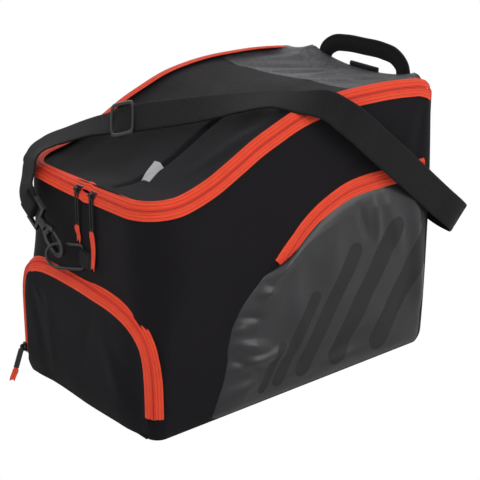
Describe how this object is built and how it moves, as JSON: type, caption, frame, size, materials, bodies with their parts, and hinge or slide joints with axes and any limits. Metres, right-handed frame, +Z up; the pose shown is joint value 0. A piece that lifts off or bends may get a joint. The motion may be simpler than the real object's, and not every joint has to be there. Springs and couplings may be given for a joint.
{
  "type": "ski boot bag",
  "caption": "Soft-sided boot bag with a sloping zipped lid, arched front pocket, side pocket, grab handle and a shoulder strap on snap hooks.",
  "frame": {"origin": "centre of the flat base, at floor level", "axes": "+X from the low front with the arched pocket to the tall rear, -Y to the side with the glossy pocket, +Z up"},
  "size_m": [0.4964, 0.2628, 0.351],
  "materials": {
    "fabric": "fine black woven polyester with a padded back",
    "base": "coated black base fabric",
    "board": "stiffening board",
    "glossy": "glossy charcoal tarpaulin",
    "mesh": "open knitted mesh",
    "lining": "dark red lining",
    "label": "plain light woven label",
    "zip_tape": "orange woven zip tape",
    "zip_coil": "orange nylon coil",
    "slider": "black painted die casting",
    "cord": "black braided cord",
    "ribbon": "orange ribbon",
    "webbing": "ribbed black polyester webbing",
    "hardware": "black moulded acetal",
    "wire": "black coated steel wire"
  },
  "bodies": {
    "bag": {"base_panel": "base", "base_board": "board", "front_panel": "fabric", "side_panel_near": "fabric", "side_panel_far": "fabric", "rear_panel": "fabric", "lid_tape_lower": "zip_tape", "lid_coil_lower": "zip_coil", "pocket_gusset": "fabric", "pocket_floor": "fabric", "pocket_apron": "fabric", "pocket_tape_outer": "zip_tape", "pocket_coil_outer": "zip_coil", "side_pocket_panel": "glossy", "side_tape_lower": "zip_tape", "side_tape_upper": "zip_tape", "side_coil": "zip_coil", "front_ring_tab": "webbing", "rear_ring_tab": "webbing", "handle_anchor_near": "webbing", "handle_anchor_far": "webbing", "strap_side": "webbing", "strap_back": "webbing", "rear_eye": "hardware", "rear_strap_fold": "webbing"},
    "lid": {"lid_panel": "fabric", "lid_mesh_panel": "mesh", "lid_lining": "lining", "lid_label": "label", "lid_tape_upper": "zip_tape", "lid_coil_upper": "zip_coil", "strap_middle": "webbing"},
    "strap_end": {"strap_front": "webbing", "front_eye": "hardware", "front_strap_fold": "webbing"},
    "front_hook": {"front_hook": "hardware"},
    "front_gate": {"front_gate": "hardware"},
    "rear_hook": {"rear_hook": "hardware"},
    "rear_gate": {"rear_gate": "hardware"},
    "front_ring": {"front_ring": "wire"},
    "rear_ring": {"rear_ring": "wire"},
    "adjuster": {"strap_adjuster": "hardware"},
    "left_slider": {"lid_slider_left": "slider"},
    "left_pull": {"lid_pull_left": "cord", "lid_ribbon_left": "ribbon"},
    "right_slider": {"lid_slider_right": "slider"},
    "right_pull": {"lid_pull_right": "cord", "lid_ribbon_right": "ribbon"},
    "pocket_slider": {"pocket_slider": "slider"},
    "pocket_pull": {"pocket_pull": "cord", "pocket_ribbon": "ribbon"},
    "side_slider": {"side_slider": "slider"},
    "side_pull": {"side_pull": "cord", "side_ribbon": "ribbon"},
    "pocket_flap": {"pocket_flap": "fabric", "pocket_tape_inner": "zip_tape", "pocket_coil_inner": "zip_coil"},
    "handle": {"grab_handle": "webbing"}
  },
  "joints": [
    {"name": "lid_hinge", "type": "hinge", "parent": "bag", "child": "lid", "pos_m": [0.2033, 0, 0.3328], "axis": [0, 1, 0], "range_deg": [0, 80], "deforming": ["strap_side", "strap_back", "strap_middle", "strap_front"]},
    {"name": "strap_end_swing", "type": "hinge", "parent": "lid", "child": "strap_end", "pos_m": [-0.207, 0, 0.271], "axis": [0, 1, 0], "range_deg": [-80, 0]},
    {"name": "front_hook_swivel", "type": "hinge", "parent": "strap_end", "child": "front_hook", "pos_m": [-0.225, 0.0435, 0.20738], "axis": [0, 0.8387, 0.5446], "range_deg": [-25, 10]},
    {"name": "front_gate_hinge", "type": "hinge", "parent": "front_hook", "child": "front_gate", "pos_m": [-0.225, 0.02524, 0.20796], "axis": [1, 0, 0], "range_deg": [0, 25], "stiffness_Nm_per_rad": 0.02, "springref_deg": -5.73},
    {"name": "rear_hook_swivel", "type": "hinge", "parent": "bag", "child": "rear_hook", "pos_m": [0.22097, -0.01595, 0.23085], "axis": [0, -0.5, -0.866], "range_deg": [-25, 25]},
    {"name": "rear_gate_hinge", "type": "hinge", "parent": "rear_hook", "child": "rear_gate", "pos_m": [0.2314, -0.00845, 0.24384], "axis": [0, -0.866, 0.5], "range_deg": [0, 25], "stiffness_Nm_per_rad": 0.02, "springref_deg": -5.73},
    {"name": "front_ring_swing", "type": "hinge", "parent": "bag", "child": "front_ring", "pos_m": [-0.20695, -0.003, 0.179], "axis": [0, 0, 1], "range_deg": [-2, 3]},
    {"name": "rear_ring_swing", "type": "hinge", "parent": "bag", "child": "rear_ring", "pos_m": [0.20695, 0, 0.297], "axis": [0, -1, 0], "range_deg": [-5, 3]},
    {"name": "adjuster_slide", "type": "slide", "parent": "lid", "child": "adjuster", "axis": [0.643, -0.699, 0.3131], "range_m": [-0.02, 0.06]},
    {"name": "left_slider_slide", "type": "slide", "parent": "bag", "child": "left_slider", "axis": [0, 1, 0], "range_m": [0, 0.06]},
    {"name": "left_pull_hinge", "type": "hinge", "parent": "left_slider", "child": "left_pull", "pos_m": [-0.20935, 0.001, 0.256], "axis": [0, 1, 0], "range_deg": [0, 120]},
    {"name": "right_slider_slide", "type": "slide", "parent": "bag", "child": "right_slider", "axis": [0, -1, 0], "range_m": [0, 0.045]},
    {"name": "right_pull_hinge", "type": "hinge", "parent": "right_slider", "child": "right_pull", "pos_m": [-0.20935, -0.026, 0.256], "axis": [0, 1, 0], "range_deg": [0, 120]},
    {"name": "pocket_slider_slide", "type": "slide", "parent": "bag", "child": "pocket_slider", "axis": [0, 0, 1], "range_m": [0, 0.055]},
    {"name": "pocket_pull_swing", "type": "hinge", "parent": "pocket_slider", "child": "pocket_pull", "pos_m": [-0.22155, 0.113, 0.0335], "axis": [0, 0, 1], "range_deg": [-60, 10]},
    {"name": "side_slider_slide", "type": "slide", "parent": "bag", "child": "side_slider", "axis": [-1, 0, 0], "range_m": [0, 0.095]},
    {"name": "side_pull_hinge", "type": "hinge", "parent": "side_slider", "child": "side_pull", "pos_m": [0.175, -0.12755, 0.229], "axis": [-1, 0, 0], "range_deg": [0, 150]},
    {"name": "pocket_flap_hinge", "type": "hinge", "parent": "bag", "child": "pocket_flap", "pos_m": [-0.2164, 0, 0.0443], "axis": [0, -1, 0], "range_deg": [0, 80]},
    {"name": "handle_hinge", "type": "hinge", "parent": "bag", "child": "handle", "pos_m": [0.2085, 0, 0.306], "axis": [0, 1, 0], "range_deg": [0, 90], "stiffness_Nm_per_rad": 0.03, "springref_deg": -17.19}
  ],
  "couplings": [
    {"joint": "strap_end_swing", "follows": "lid_hinge", "ratio": -1}
  ]
}
